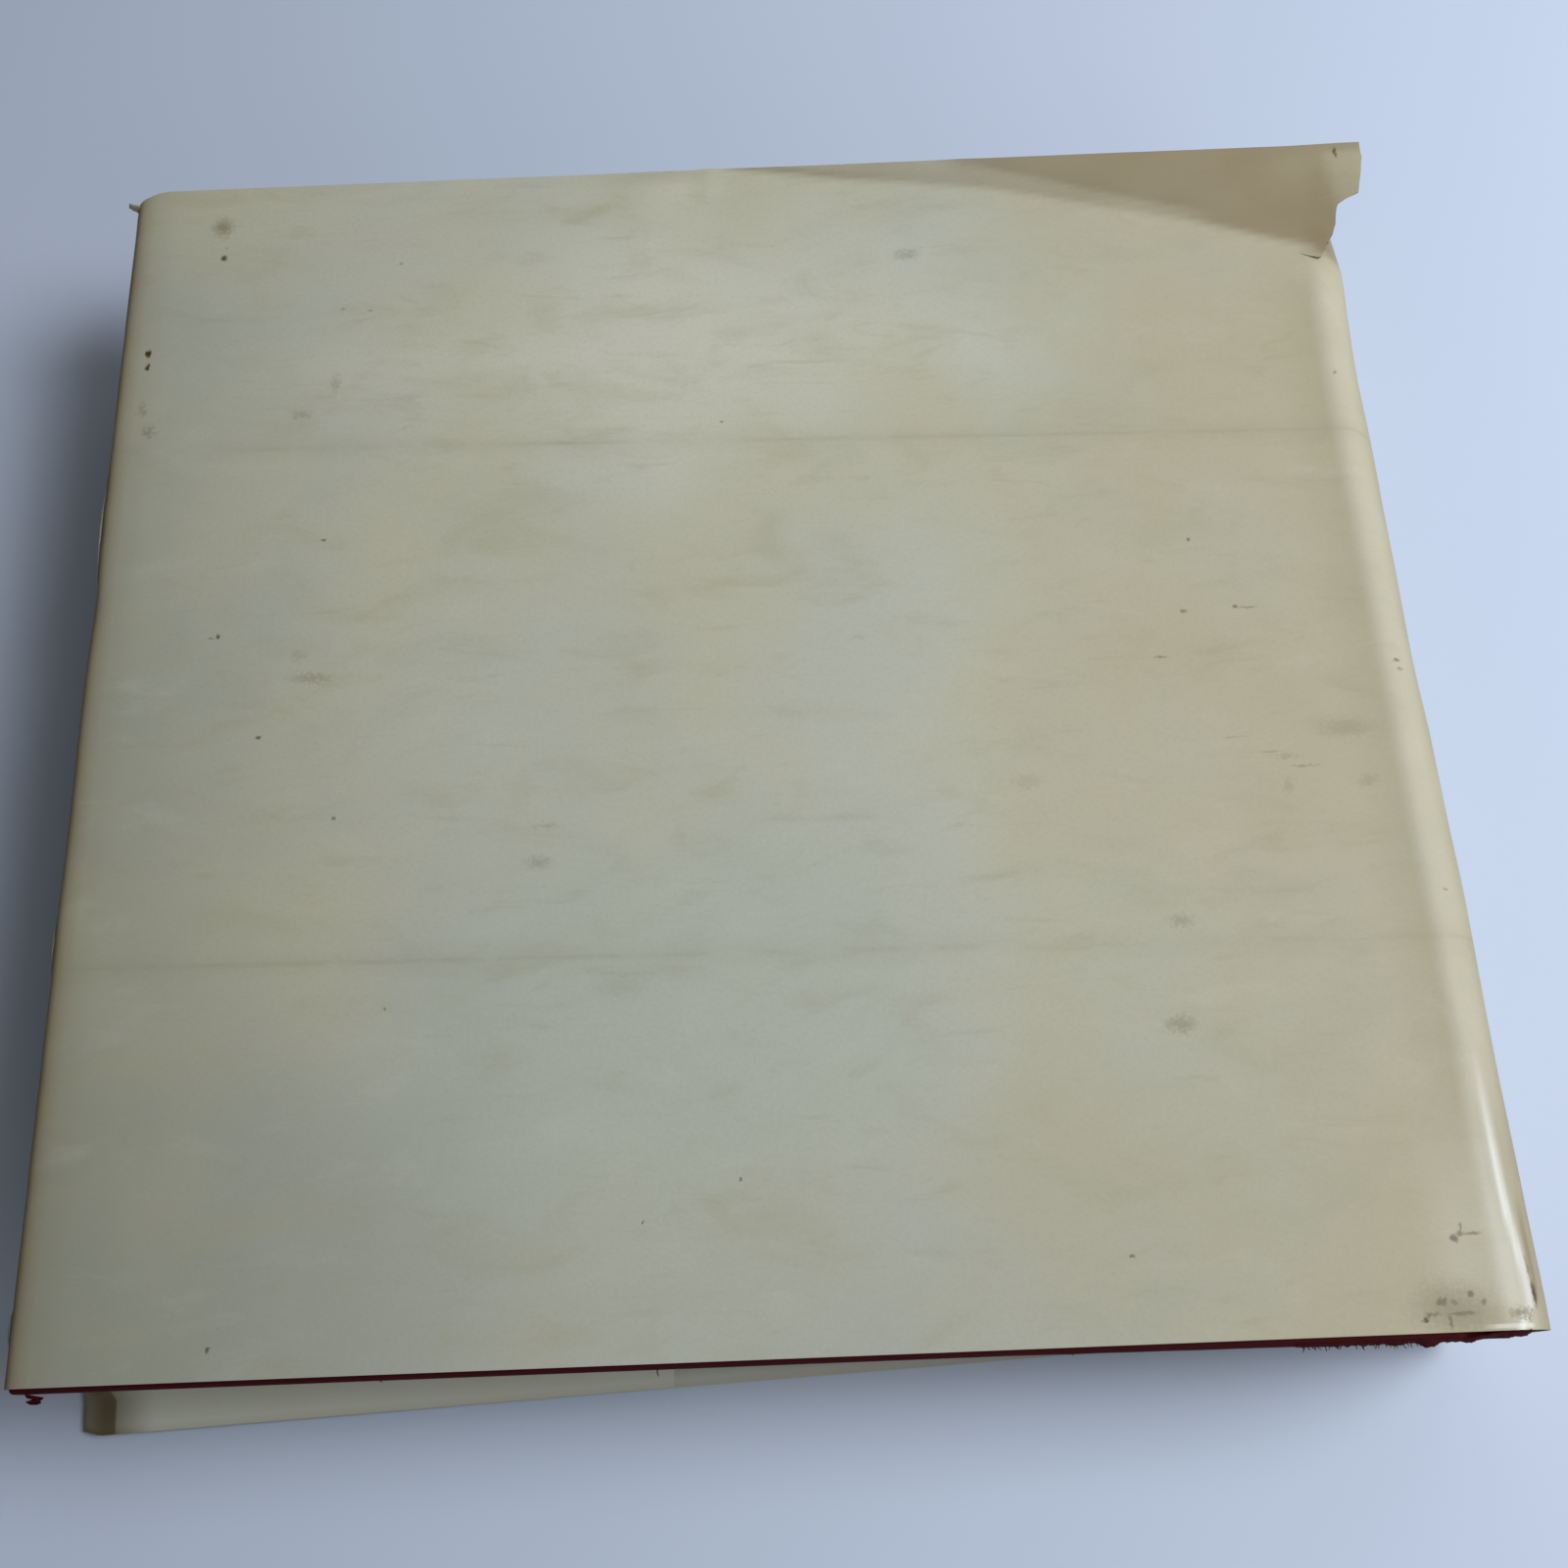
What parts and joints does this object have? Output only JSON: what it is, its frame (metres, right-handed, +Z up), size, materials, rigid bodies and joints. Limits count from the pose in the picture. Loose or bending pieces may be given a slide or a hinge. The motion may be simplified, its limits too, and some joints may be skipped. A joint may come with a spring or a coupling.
{
  "type": "hardcover book",
  "caption": "Thick case-bound book in red cloth with a rounded sewn text block, hinged covers, turning endpapers and a loose, slipped paper jacket, lying on its front cover.",
  "frame": {"origin": "middle of the book's whole outline, on the surface it lies on", "axes": "+X from the fore-edge towards the spine, +Y from the tail towards the head, +Z up from the front cover to the back cover"},
  "size_m": [0.316, 0.2976, 0.0494],
  "materials": {
    "jacket_paper": "worn satin paper, ivory, toned and marked",
    "cover_cloth": "plain-weave book cloth, dark red",
    "leaf_paper": "matt, edges slightly toned",
    "endpaper": "matt cream",
    "board": "matt grey-brown binder's board",
    "linen_tape": "plain-weave linen",
    "thread": "waxed linen thread",
    "mull": "open-weave cotton",
    "lining_paper": "brown kraft",
    "headband": "corded, red and cream"
  },
  "bodies": {
    "text_block": {"section_01": "leaf_paper", "section_02": "leaf_paper", "section_03": "leaf_paper", "section_04": "leaf_paper", "section_05": "leaf_paper", "section_06": "leaf_paper", "section_07": "leaf_paper", "section_08": "leaf_paper", "section_09": "leaf_paper", "section_10": "leaf_paper", "section_11": "leaf_paper", "section_12": "leaf_paper", "section_13": "leaf_paper", "section_14": "leaf_paper", "section_15": "leaf_paper", "section_16": "leaf_paper", "section_17": "leaf_paper", "section_18": "leaf_paper", "sewing_tapes": "linen_tape", "kettle_stitches": "thread", "mull": "mull", "spine_lining": "lining_paper", "headband_head": "headband", "headband_tail": "headband", "spine_inlay": "board", "spine_cloth": "cover_cloth", "front_joint_cloth": "cover_cloth", "back_joint_cloth": "cover_cloth", "front_joint_endpaper": "endpaper", "back_joint_endpaper": "endpaper", "jacket_spine": "jacket_paper", "jacket_front_joint": "jacket_paper", "jacket_back_joint": "jacket_paper"},
    "back_cover": {"back_board": "board", "back_cover_cloth": "cover_cloth", "back_pastedown": "endpaper", "jacket_back": "jacket_paper"},
    "front_cover": {"front_board": "board", "front_cover_cloth": "cover_cloth", "front_pastedown": "endpaper", "jacket_front": "jacket_paper"},
    "back_leaf": {"back_free_endpaper": "endpaper"},
    "front_leaf": {"front_free_endpaper": "endpaper"}
  },
  "joints": [
    {"name": "back_cover_hinge", "type": "hinge", "parent": "text_block", "child": "back_cover", "pos_m": [0.14234, 0, 0.0464], "axis": [0, 1, 0], "range_deg": [0, 179], "deforming": ["back_joint_cloth", "back_joint_endpaper", "jacket_back_joint"]},
    {"name": "front_cover_hinge", "type": "hinge", "parent": "text_block", "child": "front_cover", "pos_m": [0.14234, 0, 0.003], "axis": [0, -1, 0], "range_deg": [0, 179], "deforming": ["front_joint_cloth", "front_joint_endpaper", "jacket_front_joint"]},
    {"name": "back_leaf_turn", "type": "hinge", "parent": "text_block", "child": "back_leaf", "pos_m": [0.14234, 0, 0.0464], "axis": [0, 1, 0], "range_deg": [0, 175]},
    {"name": "front_leaf_turn", "type": "hinge", "parent": "text_block", "child": "front_leaf", "pos_m": [0.14234, 0, 0.003], "axis": [0, -1, 0], "range_deg": [0, 175]}
  ],
  "couplings": [
    {"joint": "back_leaf_turn", "follows": "back_cover_hinge", "ratio": 0.95},
    {"joint": "front_leaf_turn", "follows": "front_cover_hinge", "ratio": 0.95}
  ]
}
